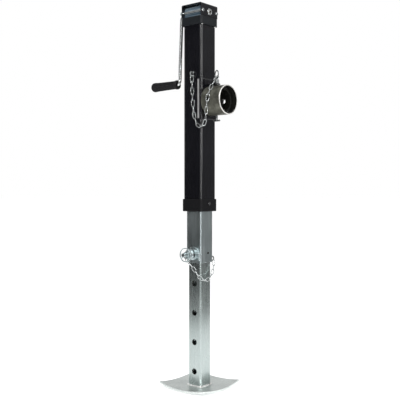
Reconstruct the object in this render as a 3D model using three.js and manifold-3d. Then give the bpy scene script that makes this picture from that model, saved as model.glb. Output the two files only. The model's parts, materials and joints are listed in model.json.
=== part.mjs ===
// Side-wind drop-leg trailer jack with a swivelling weld-on pipe mount. Millimetres, +Z up.
// Origin: centre of the foot's base, on the ground. The tubes stand on the Z axis, the pipe mount
// points along +X, the crank is on the -X side and the leg's plunger is on the -Y side.
import * as THREE from "three";
import { mergeVertices } from "three/addons/utils/BufferGeometryUtils.js";
import Module from "manifold-3d";

const wasm = await Module();
wasm.setup();

// Driving dimensions
const GAP = 0.3; // clearance between neighbouring pieces
const OUTER_HALF = 30; // outer tube, 60 mm square
const OUTER_WALL = 4.5;
const OUTER_BOTTOM = 462;
const OUTER_TOP = 952.5;
const RAM_HALF = 24.5; // inner screw-driven tube, 49 mm square
const RAM_WALL = 3;
const RAM_BOTTOM = 325.5;
const RAM_TOP = 725;
const LEG_HALF = 21; // drop leg, 42 mm square
const LEG_WALL = 4;
const HOLE_PITCH = 76.2;
const HOLE_COUNT = 5;
const HOLE_RADIUS = 7;
const PLUNGER_Z = 347.5; // axis of the leg's locking plunger
const LEG_TOP = PLUNGER_Z + 40;
const UPPER_EYE_X = 3.5; // the upper keeper chain's eye on the tube's -Y face
const CHAIN_RING_Y = 53; // distances out from the tubes' axis, along -Y
const PULL_RING_Y = 66; // the plunger's outer end
const PULL_RING_RADIUS = 17;
const FOOT_HALF = 78;
const FOOT_THICK = 4.8;
const FOOT_CORNER_LIFT = 8.5;
const FOOT_EDGE_LIFT = 3;
const HEAD_HALF = 33;
const SHAFT_Z = 970; // crank shaft axis
const HEAD_TOP = 990;
const SKIRT_BOTTOM = 936;
const SKIRT_TOP = 957;
const SCREW_RADIUS = 9;
const SCREW_BOTTOM = 535;
const CRANK_THROW = 176;
const CRANK_RADIUS = 4.6; // the crank is one bent round bar
const BOLT_X = -43; // cross bolt through the crank's socket and the shaft
const SHAFT_END = -50;
const SOCKET_END = -55.5;
const GRIP_START = -74;
const GRIP_LENGTH = 90;
const GRIP_RADIUS = 12;
const PIPE_Z = 741; // pipe mount axis
const PIPE_RADIUS = 37.5;
const PIPE_BORE = 32.5;
const PIPE_END = 95;
const PIPE_STEP = 76;
const LOCK_X = 57; // plane of the pipe's cross holes
const SADDLE_FACE = 34;
const GEAR_TEETH = 24;
const PINION_TEETH = 12;
const GEAR_PITCH_RADIUS = 20;
const PINION_PITCH_RADIUS = 10;

const X = new THREE.Vector3(1, 0, 0);
const Y = new THREE.Vector3(0, 1, 0);
const Z = new THREE.Vector3(0, 0, 1);
const EYE_SIDE = new THREE.Vector3(0.9, -0.436, 0).normalize(); // the lock pin's ring lies along it
const CROSSBAR = new THREE.Vector3(0.8, 0, 0.6); // the pull ring's bar through the plunger

// Materials
const finish = (color, roughness, metalness) =>
  new THREE.MeshStandardMaterial({ color, roughness, metalness });
const BLACK_PAINT = finish(0x101114, 0.25, 0.3);
const ZINC = finish(0xb4bab8, 0.38, 0.9);
const DARK_ZINC = finish(0x6d7375, 0.42, 0.85);
const RAW_STEEL = finish(0x5c5f55, 0.5, 0.8);
const BLACK_PLASTIC = finish(0x0b0b0c, 0.55, 0);
const RUBBER = finish(0x17181a, 0.7, 0);
const BRONZE = finish(0x8c6a35, 0.4, 0.8);

// A closed geometry as a solid, and a solid as a geometry
function solid(geometry) {
  const plain = geometry.clone();
  plain.deleteAttribute("normal");
  plain.deleteAttribute("uv");
  const merged = mergeVertices(plain, 1e-4);
  return new wasm.Manifold(
    new wasm.Mesh({
      numProp: 3,
      vertProperties: new Float32Array(merged.attributes.position.array),
      triVerts: new Uint32Array(merged.index.array),
    }),
  );
}

function geometryOf(manifold) {
  const mesh = manifold.getMesh();
  const geometry = new THREE.BufferGeometry();
  geometry.setAttribute("position", new THREE.BufferAttribute(mesh.vertProperties, 3));
  geometry.setIndex(new THREE.BufferAttribute(mesh.triVerts, 1));
  geometry.computeVertexNormals();
  return geometry;
}

const join = (first, ...others) => others.reduce((sum, piece) => sum.add(piece), first);
const cut = (first, ...others) => others.reduce((rest, piece) => rest.subtract(piece), first);

// Places geometry built along +Z so that it runs along an axis from a point
function along(geometry, axis, [x, y, z]) {
  geometry.applyQuaternion(new THREE.Quaternion().setFromUnitVectors(Z, axis));
  geometry.translate(x, y, z);
  return geometry;
}

// A solid of revolution about an axis: its profile is [radius, distance along the axis] points
function turned(profile, axis, at, segments = 20) {
  const points = profile.map(([radius, height]) => new THREE.Vector2(radius, height));
  const lathe = new THREE.LatheGeometry(points, segments);
  lathe.rotateX(Math.PI / 2);
  return solid(along(lathe, axis, at));
}

// A plain round bar from low to high along an axis, and a ring with a bore
const bar = (radius, low, high, axis, at = [0, 0, 0], segments = 20) =>
  turned([[0, low], [radius, low], [radius, high], [0, high]], axis, at, segments);

const ring = (outer, inner, low, high, axis, at = [0, 0, 0], segments = 20) =>
  turned(
    [[inner, low], [outer, low], [outer, high], [inner, high], [inner, low]],
    axis,
    at,
    segments,
  );

function block([x0, y0, z0], [x1, y1, z1]) {
  const box = new THREE.BoxGeometry(x1 - x0, y1 - y0, z1 - z0);
  return solid(box.translate((x0 + x1) / 2, (y0 + y1) / 2, (z0 + z1) / 2));
}

// A square outline with rounded corners
function squareOutline(half, radius) {
  const outline = new THREE.Shape();
  const flat = half - radius;
  outline.absarc(flat, flat, radius, 0, Math.PI / 2);
  outline.absarc(-flat, flat, radius, Math.PI / 2, Math.PI);
  outline.absarc(-flat, -flat, radius, Math.PI, 1.5 * Math.PI);
  outline.absarc(flat, -flat, radius, 1.5 * Math.PI, 2 * Math.PI);
  outline.closePath();
  return outline;
}

// A square bar along Z
function squareBar(half, radius, low, high) {
  const prism = new THREE.ExtrudeGeometry(squareOutline(half, radius), {
    depth: high - low,
    bevelEnabled: false,
    curveSegments: 3,
  });
  return solid(prism.translate(0, 0, low));
}

// A square tube along Z, open at both ends
function squareTube(half, wall, radius, low, high) {
  const innerRadius = Math.max(radius - wall, 0.8);
  return cut(
    squareBar(half, radius, low, high),
    squareBar(half - wall, innerRadius, low - 1, high + 1),
  );
}

// A round wire along a path of points
function wire(radius, points, steps, sides = 8, closed = false) {
  const section = new THREE.Shape();
  section.absarc(0, 0, radius, 0, 2 * Math.PI);
  const path = new THREE.CatmullRomCurve3(points, closed, "centripetal");
  const geometry = new THREE.ExtrudeGeometry(section, {
    steps,
    extrudePath: path,
    curveSegments: sides / 2,
    bevelEnabled: false,
  });
  return solid(geometry);
}

// A closed round wire ring: its centre, its axis, its middle radius and its wire's radius
function wireRing(centre, axis, middle, radius) {
  const torus = new THREE.TorusGeometry(middle, radius, 6, 20);
  return solid(along(torus, axis, centre));
}

// A hexagon bolt head or nut about an axis
const hexagon = (acrossFlats, low, high, axis, at) =>
  bar(acrossFlats / Math.sqrt(3), low, high, axis, at, 6);

// A bevel gear about an axis, with every tooth running to the apex. Its loops are circles
// { radius, distance } or toothed outlines { reach } at that distance from the apex.
function bevelGear({ teeth, coneAngle, apex, axis, start, loops, halfTurn }) {
  const PITCH_SHARE = [-0.22, -0.12, 0.12, 0.22]; // root, tip, tip and root corners
  const ADDENDUM = 0.042;
  const DEDENDUM = 0.066;
  const side = new THREE.Vector3().crossVectors(axis, start);
  const points = [];
  for (const loop of loops) {
    for (let tooth = 0; tooth < teeth; tooth++) {
      PITCH_SHARE.forEach((share, corner) => {
        const turn = (2 * Math.PI * (tooth + share + (halfTurn ? 0.5 : 0))) / teeth;
        const isTip = corner === 1 || corner === 2;
        const cone = coneAngle + (isTip ? ADDENDUM : -DEDENDUM);
        const radius = loop.reach ? loop.reach * Math.sin(cone) : loop.radius;
        const distance = loop.reach ? loop.reach * Math.cos(cone) : loop.distance;
        points.push(
          new THREE.Vector3(...apex)
            .addScaledVector(axis, distance)
            .addScaledVector(start, radius * Math.cos(turn))
            .addScaledVector(side, radius * Math.sin(turn)),
        );
      });
    }
  }
  const around = 4 * teeth;
  const index = [];
  loops.forEach((_, loop) => {
    const next = (loop + 1) % loops.length;
    for (let i = 0; i < around; i++) {
      const j = (i + 1) % around;
      const [a, b] = [loop * around + i, loop * around + j];
      const [c, d] = [next * around + i, next * around + j];
      index.push(a, c, b, b, c, d);
    }
  });
  const geometry = new THREE.BufferGeometry().setFromPoints(points);
  geometry.setIndex(index);
  return solid(geometry);
}

const part = new THREE.Group();

function add(name, material, manifold) {
  const mesh = new THREE.Mesh(geometryOf(manifold), material);
  mesh.name = name;
  part.add(mesh);
}

// The weld-on pipe mount, which stays with the trailer, and the clamp screw under it
function pipeMount() {
  const at = [0, 0, PIPE_Z];
  const back = SADDLE_FACE + 1.6;
  const profile = [
    [PIPE_BORE, back],
    [PIPE_RADIUS, back],
    [PIPE_RADIUS, PIPE_END - 1.5],
    [PIPE_RADIUS - 1, PIPE_END],
    [34.8, PIPE_END],
    [34.3, PIPE_STEP],
    [PIPE_BORE, PIPE_STEP],
    [PIPE_BORE, back],
  ];
  const holeAt = [LOCK_X, 0, PIPE_Z];
  const sideHoles = bar(7, -50, 50, Y, holeAt, 16);
  const topHole = bar(7, 0, 50, Z, holeAt, 16);
  const screwHole = bar(3.4, -50, 0, Z, holeAt, 12);
  add("mount_pipe", RAW_STEEL, cut(turned(profile, X, at, 36), sideHoles, topHole, screwHole));
  const barZ = PIPE_Z - 51;
  const stem = bar(3, barZ, PIPE_Z - 32.6, Z, [LOCK_X, 0, 0], 16);
  const crossBar = bar(2.2, -10, 10, X, [LOCK_X, 0, barZ], 12);
  add("clamp_screw", DARK_ZINC, join(stem, crossBar));
}

// The saddle, the stub that turns in the pipe mount, its retaining ring and the pin's guide
function saddle() {
  const [low, high] = [PIPE_Z - 45, PIPE_Z + 55];
  const outside = squareBar(SADDLE_FACE, 7, low, high);
  const room = squareBar(OUTER_HALF + GAP, 4, low - 1, high + 1);
  const kept = block([20, -40, low - 1], [40, 40, high + 1]);
  add("saddle_plate", BLACK_PAINT, cut(outside, room).intersect(kept));
  const at = [0, 0, PIPE_Z];
  const stub = ring(31.9, 27, SADDLE_FACE + GAP, PIPE_STEP + 4.5, X, at, 32);
  const holeAt = [LOCK_X, 0, PIPE_Z];
  const holes = [bar(6.8, -45, 45, Y, holeAt, 16), bar(6.8, 0, 45, Z, holeAt, 16)];
  add("pivot_stub", RAW_STEEL, cut(stub, ...holes));
  add("pivot_retaining_ring", DARK_ZINC, ring(34, 32.2, PIPE_STEP + 0.5, PIPE_STEP + 2.5, X, at, 24));
  const lugTop = PIPE_Z + 43.3;
  const lug = join(
    block([SADDLE_FACE + GAP, -9, lugTop - 4], [LOCK_X, 9, lugTop]),
    bar(9, lugTop - 4, lugTop, Z, [LOCK_X, 0, 0]),
  );
  add("lock_pin_guide", BLACK_PAINT, cut(lug, bar(6.4, lugTop - 9, lugTop + 5, Z, [LOCK_X, 0, 0])));
}

// The swivel lock pin and the eye ring on its head
function lockPin() {
  const tip = PIPE_Z + 38.2;
  const top = PIPE_Z + 61;
  const profile = [
    [0, tip], [5, tip], [6, tip + 1.2], [6, top - 8], [3.8, top - 6.8], [3.8, top - 0.8], [3, top],
    [0, top],
  ];
  const eyeHoleZ = top - 3.4;
  const eyeRadius = 9.5;
  const eyeHole = bar(2.3, -12, 12, EYE_SIDE, [LOCK_X, 0, eyeHoleZ], 12);
  add("lock_pin", DARK_ZINC, cut(turned(profile, Z, [LOCK_X, 0, 0], 20), eyeHole));
  const eyeAxis = new THREE.Vector3().crossVectors(Z, EYE_SIDE);
  add("lock_pin_eye", DARK_ZINC,
    wireRing([LOCK_X, 0, eyeHoleZ + eyeRadius], eyeAxis, eyeRadius, 1.4));
}

// The outer tube, the collar at its foot, and the eye that the upper chain hangs from
function outerTube() {
  const [bottom, top] = [OUTER_BOTTOM, OUTER_TOP];
  add("outer_tube", BLACK_PAINT, squareTube(OUTER_HALF, OUTER_WALL, 6, bottom, top));
  const sleeve = squareTube(33, 33 - OUTER_HALF - GAP, 7, bottom - GAP, 490);
  const floor = cut(
    squareBar(32, 7, bottom - 4, bottom - GAP),
    squareBar(RAM_HALF + 0.5, 4.4, bottom - 9, bottom + 5),
  );
  add("bottom_collar", BLACK_PLASTIC, join(sleeve, floor));
  for (const [name, x] of [["left", -1], ["right", 1]]) {
    const screw = turned([[0, 0], [4, 0], [3.4, 1.6], [0, 2.2]], X.clone().multiplyScalar(x),
      [x * (33 + GAP), 0, 478], 16);
    add("collar_screw_" + name, BLACK_PAINT, screw);
  }
  const eyeZ = 810;
  const eye = wireRing([UPPER_EYE_X, -OUTER_HALF - 4.5, eyeZ], X, 6, 1.8);
  const clear = block([-20, -OUTER_HALF - GAP, eyeZ - 20], [20, 0, eyeZ + 20]);
  add("chain_eye_upper", DARK_ZINC, cut(eye, clear));
}

// The gear head: skirt, inverted-U cover, shields, through bolts, bushings and thrust bearing
function gearHead() {
  const skirt = join(
    squareTube(HEAD_HALF + 0.6, 3, 5, SKIRT_BOTTOM, SKIRT_TOP - 1),
    squareBar(HEAD_HALF + 0.6, 5, SKIRT_TOP - 4, SKIRT_TOP),
  );
  const gearRoom = bar(23.4, SKIRT_TOP - 9, SKIRT_TOP + 1, Z, [0, 0, 0], 32);
  add("gear_base", BLACK_PAINT, cut(skirt, gearRoom));

  const sideThick = 2.5;
  const coverLow = SKIRT_TOP + GAP;
  const shell = cut(
    block([-HEAD_HALF, -HEAD_HALF, coverLow], [HEAD_HALF, HEAD_HALF, HEAD_TOP]),
    block([-HEAD_HALF + sideThick, -40, coverLow - 1], [HEAD_HALF - sideThick, 40, HEAD_TOP - 2.5]),
  );
  const shaftHole = bar(8.6, -50, 50, X, [0, 0, SHAFT_Z]);
  const boltHoles = [-1, 1].map((side) => bar(3.5, -50, 50, X, [0, side * 28, SHAFT_Z], 16));
  add("gear_cover", BLACK_PAINT, cut(shell, shaftHole, ...boltHoles));

  for (const [name, side] of [["front", -1], ["rear", 1]]) {
    const outline = new THREE.Shape();
    const top = HEAD_TOP - 2.5 - GAP;
    const inner = 22.2;
    // In section the shield rises, leans in as a half round and ends under the cover's top.
    outline.moveTo(inner, coverLow);
    outline.lineTo(inner + 1.5, coverLow);
    outline.lineTo(inner + 1.5, SHAFT_Z + 4);
    outline.quadraticCurveTo(inner + 1.2, top - 3, inner - 6, top);
    outline.lineTo(inner - 8, top);
    outline.quadraticCurveTo(inner - 0.6, top - 5, inner, SHAFT_Z + 4);
    outline.closePath();
    const reach = HEAD_HALF - sideThick - GAP;
    const sheet = new THREE.ExtrudeGeometry(outline, {
      depth: 2 * reach,
      bevelEnabled: false,
      curveSegments: 6,
    });
    // The outline's x runs outwards along Y and its y runs along Z.
    sheet.applyMatrix4(
      new THREE.Matrix4().makeBasis(
        new THREE.Vector3(0, side, 0),
        Z,
        new THREE.Vector3(side, 0, 0),
      ),
    );
    sheet.translate(-side * reach, 0, 0);
    add("gear_shield_" + name, DARK_ZINC, solid(sheet));

    const at = [0, side * 28, SHAFT_Z];
    const bolt = join(
      bar(3, -HEAD_HALF - 6, HEAD_HALF + 1, X, at, 16),
      hexagon(8, HEAD_HALF + GAP, HEAD_HALF + GAP + 2.7, X, at),
    );
    add("cover_bolt_" + name, ZINC, bolt);
    const nut = cut(
      hexagon(9, -HEAD_HALF - 5, -HEAD_HALF - GAP, X, at),
      bar(3.3, -HEAD_HALF - 9, -HEAD_HALF + 9, X, at, 16),
    );
    add("cover_nut_" + name, ZINC, nut);
  }
  const bushingAt = [0, 0, SHAFT_Z];
  add("shaft_bushing_left", BRONZE, turned(
    [[7.3, -36], [10.5, -36], [10.5, -33.3], [8.2, -33.3], [8.2, -28.8], [7.3, -28.8], [7.3, -36]],
    X, bushingAt));
  add("shaft_bushing_right", BRONZE, turned(
    [[5.8, 28.2], [10.5, 28.2], [10.5, 30.2], [8.2, 30.2], [8.2, 33], [5.8, 33], [5.8, 28.2]],
    X, bushingAt));
  const plateTop = 938;
  const plate = squareBar(OUTER_HALF - OUTER_WALL - GAP, 2, plateTop - 8, plateTop);
  add("bearing_plate", RAW_STEEL, cut(plate, bar(8.4, plateTop - 10, plateTop + 2, Z)));
  add("thrust_bearing", RAW_STEEL, ring(17, 9.5, plateTop + GAP, plateTop + 6.7, Z));
}

// The crank: shaft, pinion, pin, washer and screw at its end, socket, bent arm, bolt and nut
function crank() {
  const at = [0, 0, SHAFT_Z];
  const shaft = turned(
    [[0, SHAFT_END], [7, SHAFT_END], [7, -28], [5.5, -28], [5.5, 34.8], [4.9, 35.6], [0, 35.6]],
    X,
    at,
  );
  const pinHole = bar(1.8, -12, 12, Y, [-23.5, 0, SHAFT_Z], 12);
  const boltHole = bar(2.9, -20, 20, Y, [BOLT_X, 0, SHAFT_Z], 12);
  add("crank_shaft", RAW_STEEL, cut(shaft, pinHole, boltHole));
  const coneReach = Math.hypot(GEAR_PITCH_RADIUS, PINION_PITCH_RADIUS);
  const pinion = bevelGear({
    teeth: PINION_TEETH,
    coneAngle: Math.atan(PINION_PITCH_RADIUS / GEAR_PITCH_RADIUS),
    apex: at,
    axis: X.clone().negate(),
    start: Z.clone().negate(),
    halfTurn: false,
    loops: [
      { radius: 5.8, distance: 27 },
      { radius: 8.8, distance: 27 },
      { radius: 8.8, distance: 20.8 },
      { reach: coneReach },
      { reach: 0.75 * coneReach },
      { radius: 5.8, distance: 15 },
    ],
  });
  add("bevel_pinion", RAW_STEEL, cut(pinion, pinHole));
  add("pinion_pin", DARK_ZINC, bar(1.5, -8.4, 8.4, Y, [-23.5, 0, SHAFT_Z], 12));
  add("shaft_washer", ZINC, ring(8.4, 5.8, HEAD_HALF + GAP, HEAD_HALF + GAP + 1.3, X, at, 28));

  const socket = turned(
    [
      [CRANK_RADIUS + GAP, SOCKET_END],
      [8.5, SOCKET_END],
      [10, SOCKET_END + 1.5],
      [10, -37.2],
      [7.3, -37.2],
      [7.3, SHAFT_END - 0.5],
      [CRANK_RADIUS + GAP, SHAFT_END - 0.5],
      [CRANK_RADIUS + GAP, SOCKET_END],
    ],
    X,
    at,
    24,
  );
  add("crank_socket", ZINC, cut(socket, boltHole));
  // The bar leaves the socket, turns down beside the head, leans out and turns into the grip.
  const gripZ = SHAFT_Z - CRANK_THROW;
  const arm = [
    [SHAFT_END - 0.8, SHAFT_Z],
    [-53, SHAFT_Z],
    [-57, SHAFT_Z],
    [-60.2, SHAFT_Z - 4],
    [-61.4, SHAFT_Z - 12],
    [-62.2, SHAFT_Z - 24],
    [-63.2, SHAFT_Z - 50],
    [-67, gripZ + 50],
    [-68, gripZ + 14],
    [-70, gripZ + 5.5],
    [-75, gripZ + 0.8],
    [-82, gripZ],
    [GRIP_START - GRIP_LENGTH - 2, gripZ],
  ].map(([x, z]) => new THREE.Vector3(x, 0, z));
  add("crank_arm", ZINC, wire(CRANK_RADIUS, arm, 44, 10));
  add("crank_bolt", ZINC, join(
    bar(2.6, -12, 15, Y, [BOLT_X, 0, SHAFT_Z], 12),
    hexagon(8, -13.8, -10.3, Y, [BOLT_X, 0, SHAFT_Z]),
  ));
  add("crank_nut", ZINC, cut(
    hexagon(8, 10.3, 14.3, Y, [BOLT_X, 0, SHAFT_Z]),
    bar(2.9, 8, 20, Y, [BOLT_X, 0, SHAFT_Z], 12),
  ));
  const gripEnd = GRIP_START - GRIP_LENGTH;
  const gripBore = CRANK_RADIUS + 0.6;
  const grip = turned(
    [
      [gripBore, -gripEnd],
      [GRIP_RADIUS - 1.5, -gripEnd],
      [GRIP_RADIUS + 0.6, -gripEnd - 5],
      [GRIP_RADIUS + 0.6, -gripEnd - 10],
      [GRIP_RADIUS - 0.6, -gripEnd - 40],
      [GRIP_RADIUS - 1.2, -GRIP_START + 8],
      [GRIP_RADIUS, -GRIP_START + 6],
      [GRIP_RADIUS, -GRIP_START + 2],
      [GRIP_RADIUS - 1.5, -GRIP_START],
      [gripBore + 3, -GRIP_START],
      [gripBore, -GRIP_START + 6],
      [gripBore, -gripEnd],
    ].reverse(),
    X.clone().negate(),
    [0, 0, gripZ],
  );
  add("handle_grip", RUBBER, grip);
  add("grip_cap_nut", ZINC, cut(
    turned([[0, -gripEnd + GAP], [7, -gripEnd + GAP], [5, -gripEnd + 5], [0, -gripEnd + 5.6]],
      X.clone().negate(), [0, 0, gripZ], 16),
    bar(CRANK_RADIUS + GAP, 100, -gripEnd + 2.4, X.clone().negate(), [0, 0, gripZ], 16),
  ));
}

// The lead screw, its bevel gear and the gear's cross pin
function screwDrive() {
  const profile = [
    [0, SCREW_BOTTOM],
    [SCREW_RADIUS - 2, SCREW_BOTTOM],
    [SCREW_RADIUS, SCREW_BOTTOM + 3],
    [SCREW_RADIUS, 922],
    [8, 922],
    [8, 958],
    [0, 958],
  ];
  const pinAt = [0, 0, 950];
  const pinHole = bar(1.8, -30, 30, Y, pinAt, 12);
  add("lead_screw", RAW_STEEL, cut(turned(profile, Z, [0, 0, 0]), pinHole));
  const coneReach = Math.hypot(GEAR_PITCH_RADIUS, PINION_PITCH_RADIUS);
  const gear = bevelGear({
    teeth: GEAR_TEETH,
    coneAngle: Math.atan(GEAR_PITCH_RADIUS / PINION_PITCH_RADIUS),
    apex: [0, 0, SHAFT_Z],
    axis: Z.clone().negate(),
    start: X.clone().negate(),
    halfTurn: true,
    loops: [
      { radius: 8.3, distance: SHAFT_Z - 945 },
      { radius: 16, distance: SHAFT_Z - 945 },
      { radius: 18, distance: 12.5 },
      { reach: coneReach },
      { reach: 0.75 * coneReach },
      { radius: 8.3, distance: 11 },
    ],
  });
  add("bevel_gear", RAW_STEEL, cut(gear, pinHole));
  add("gear_pin", DARK_ZINC, bar(1.5, -15, 15, Y, pinAt, 12));
}

// The ram, its drive nut, the spring latch on its front and the lower chain's eye
function ram() {
  const tube = squareTube(RAM_HALF, RAM_WALL, 4, RAM_BOTTOM, RAM_TOP);
  const latchHole = bar(6.4, -40, 0, Y, [0, 0, PLUNGER_Z], 20);
  const sideHole = bar(3.2, 0, 40, X, [0, 5, PLUNGER_Z + 2.5], 16);
  add("ram_tube", ZINC, cut(tube, latchHole, sideHole));
  const nut = squareBar(RAM_HALF - RAM_WALL - GAP, 0.9, RAM_TOP - 25, RAM_TOP);
  add("drive_nut", BRONZE, cut(nut, bar(SCREW_RADIUS + 0.4, RAM_TOP - 30, RAM_TOP + 5, Z)));

  const face = -RAM_HALF - GAP;
  const plate = join(
    block([-19, face - 2.7, PLUNGER_Z - 17], [19, face, PLUNGER_Z + 6]),
    bar(19, -face, -face + 2.7, Y.clone().negate(), [0, 0, PLUNGER_Z], 32),
  );
  const plateCut = block([-40, -60, PLUNGER_Z - 60], [40, 0, PLUNGER_Z - 17]);
  add("latch_plate", ZINC, cut(plate, plateCut, bar(6.4, -40, 0, Y, [0, 0, PLUNGER_Z], 20)));
  const housing = turned(
    [[8.4, 27.8], [14.5, 27.8], [14.5, 31.5], [10.2, 32.5], [10.2, 37], [13.4, 38], [13.4, 44.2],
      [12.2, 45.4], [6.4, 45.4], [6.4, 43.4], [8.4, 43.4], [8.4, 27.8]],
    Y.clone().negate(),
    [0, 0, PLUNGER_Z],
    24,
  );
  add("latch_housing", ZINC, housing);
  const springSteps = 36;
  const turns = 3;
  const coil = Array.from({ length: springSteps + 1 }, (_, i) => {
    const turn = (2 * Math.PI * turns * i) / springSteps;
    const depth = -38.5 - (4.2 * i) / springSteps;
    return new THREE.Vector3(7.3 * Math.cos(turn), depth, PLUNGER_Z + 7.3 * Math.sin(turn));
  });
  add("latch_spring", ZINC, wire(0.4, coil, springSteps, 4));
  const eye = wireRing([20, RAM_HALF + 4, 334], X, 5.5, 1.6);
  const clear = block([0, 0, 300], [40, RAM_HALF + GAP, 360]);
  add("chain_eye_lower", DARK_ZINC, cut(eye, clear));
}

// The spring plunger that locks the leg, the clip that its spring pushes on, and the pull ring
function latch() {
  const toY = Y.clone().negate();
  const at = [0, 0, PLUNGER_Z];
  const plunger = turned(
    [[0, 21.5], [4.6, 21.5], [6, 23], [6, PULL_RING_Y - 1], [5, PULL_RING_Y], [0, PULL_RING_Y]],
    toY,
    at,
    24,
  );
  const ringY = PULL_RING_Y - 9;
  const barHole = bar(1.9, -20, 20, CROSSBAR, [0, -ringY, PLUNGER_Z], 12);
  const groove = ring(9, 5.3, 36.2, 37.8, toY, at, 20);
  add("latch_plunger", ZINC, cut(plunger, barHole, groove));
  add("plunger_clip", ZINC, ring(7.8, 5.6, 36.4, 37.6, toY, at, 20));
  // The keeper chain's end ring hangs on the plunger, between the housing and the pull ring.
  const sag = 1.2;
  add("chain_ring", ZINC, wireRing([0, -CHAIN_RING_Y, PLUNGER_Z - sag], Y, 8.8, 1.2));
  const handle = join(
    wireRing([0, -ringY, PLUNGER_Z], Y, PULL_RING_RADIUS, 1.5),
    bar(1.4, -PULL_RING_RADIUS, PULL_RING_RADIUS, CROSSBAR, [0, -ringY, PLUNGER_Z], 12),
  );
  add("pull_ring", ZINC, handle);
}

// The drop leg with its row of holes, and the dished foot plate welded to it
function dropLeg() {
  const bottom = FOOT_THICK + GAP;
  const holes = Array.from({ length: HOLE_COUNT }, (_, i) =>
    bar(HOLE_RADIUS, -30, 30, Y, [0, 0, PLUNGER_Z - i * HOLE_PITCH], 16),
  );
  const tube = squareTube(LEG_HALF, LEG_WALL, 5, bottom, LEG_TOP);
  add("drop_leg", ZINC, cut(tube, ...holes));
  add("foot_plate", ZINC, footPlate());
}

// The foot is flat under the leg and lifts towards its four rounded corners
function footPlate() {
  const cells = 10;
  const flat = 26;
  const bow = 0.1; // how far the edges bow outwards between the corners
  const points = [];
  for (const thick of [0, FOOT_THICK]) {
    for (let i = 0; i <= cells; i++) {
      for (let j = 0; j <= cells; j++) {
        const u = (2 * i) / cells - 1;
        const v = (2 * j) / cells - 1;
        const x = FOOT_HALF * u * Math.sqrt(1 - bow * v * v);
        const y = FOOT_HALF * v * Math.sqrt(1 - bow * u * u);
        const out = Math.max(0, (Math.max(Math.abs(x), Math.abs(y)) - flat) / (FOOT_HALF - flat));
        const corner = FOOT_CORNER_LIFT * (u * v) ** 2 * Math.min(1, 1.5 * out);
        points.push(new THREE.Vector3(x, y, thick + corner + FOOT_EDGE_LIFT * out * out));
      }
    }
  }
  const row = cells + 1;
  const layer = row * row;
  const index = [];
  const quad = (a, b, c, d) => index.push(a, b, c, a, c, d);
  for (let i = 0; i < cells; i++) {
    for (let j = 0; j < cells; j++) {
      const a = i * row + j;
      quad(a, a + 1, a + row + 1, a + row);
      quad(layer + a, layer + a + row, layer + a + row + 1, layer + a + 1);
    }
    const [front, back] = [i * row, i * row + cells];
    quad(front, front + row, layer + front + row, layer + front);
    quad(back + row, back, layer + back, layer + back + row);
    const [left, right] = [i, cells * row + i];
    quad(left + 1, left, layer + left, layer + left + 1);
    quad(right, right + 1, layer + right + 1, layer + right);
  }
  const geometry = new THREE.BufferGeometry().setFromPoints(points);
  geometry.setIndex(index);
  return solid(geometry);
}

// The two keeper chains, each as one plain strand of its true route and length
const UPPER_CHAIN = [
  [3.5, -36.5, 801], [3.8, -35.5, 786], [4.5, -34.5, 765], [5.5, -34.2, 742], [7.5, -34.2, 722],
  [11, -34.5, 704], [17, -35.5, 688], [26, -37, 676], [38, -38.5, 672], [48, -40.5, 677],
  [54, -42, 688], [56.8, -42.4, 704], [58.6, -42.6, 722], [61.2, -42.4, 744], [62.6, -38.6, 758],
  [61.3, -29, 771], [60.6, -19, 784], [61, -11.8, 793],
];
const LOWER_CHAIN = [
  [0, -53, 335.2], [2.8, -50.6, 329.5], [8, -45.5, 322], [12.5, -40, 313], [18, -34.8, 301.5],
  [25, -29.5, 288.5], [30.5, -19, 281], [32, -5, 282], [31.5, 7, 289], [29, 20, 304],
  [25.5, 27.5, 317], [21, 30.5, 323.5],
];

function chains() {
  const strand = (points) => points.map((point) => new THREE.Vector3(...point));
  add("upper_chain", ZINC, wire(1.8, strand(UPPER_CHAIN), 36, 6));
  add("lower_chain", ZINC, wire(1.8, strand(LOWER_CHAIN), 24, 6));
}

pipeMount();
saddle();
lockPin();
outerTube();
gearHead();
crank();
screwDrive();
ram();
latch();
dropLeg();
chains();

export default part;
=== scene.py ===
"""The looks of a side-wind, drop-leg trailer jack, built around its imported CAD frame.

Metres, +Z up. The tubes stand on the Z axis, the pipe mount points along +X, the crank is on the -X
side, and the leg's plunger is on the -Y side.
"""

import json
import math
import random

import bmesh
import bpy
from mathutils import Matrix, Vector


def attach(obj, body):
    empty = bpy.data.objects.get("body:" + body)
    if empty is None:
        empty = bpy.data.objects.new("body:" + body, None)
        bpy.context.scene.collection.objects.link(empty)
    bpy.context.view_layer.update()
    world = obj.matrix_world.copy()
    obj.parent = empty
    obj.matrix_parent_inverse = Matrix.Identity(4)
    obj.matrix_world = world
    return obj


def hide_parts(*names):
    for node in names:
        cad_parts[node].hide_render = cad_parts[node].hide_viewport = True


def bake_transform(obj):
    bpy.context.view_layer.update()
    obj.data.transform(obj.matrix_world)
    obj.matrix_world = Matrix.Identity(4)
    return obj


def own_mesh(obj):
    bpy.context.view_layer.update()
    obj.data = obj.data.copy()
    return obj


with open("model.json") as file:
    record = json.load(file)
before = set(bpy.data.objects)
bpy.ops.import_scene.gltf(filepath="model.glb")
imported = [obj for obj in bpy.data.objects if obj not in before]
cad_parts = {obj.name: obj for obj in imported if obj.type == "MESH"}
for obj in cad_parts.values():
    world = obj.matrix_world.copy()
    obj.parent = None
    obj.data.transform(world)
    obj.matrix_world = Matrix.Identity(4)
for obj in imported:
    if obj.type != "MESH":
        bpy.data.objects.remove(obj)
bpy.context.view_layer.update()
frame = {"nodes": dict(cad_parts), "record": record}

MM = 0.001
X, Y, Z = Vector((1, 0, 0)), Vector((0, 1, 0)), Vector((0, 0, 1))
ORIGIN = Vector((0, 0, 0))
BODY_OF = {node: body for body, nodes in frame["record"]["behaviour"]["bodies"].items() for node in nodes}
SLOT_OF = {row["node"]: row["material_slot"] for row in frame["record"]["subparts"]}


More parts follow.
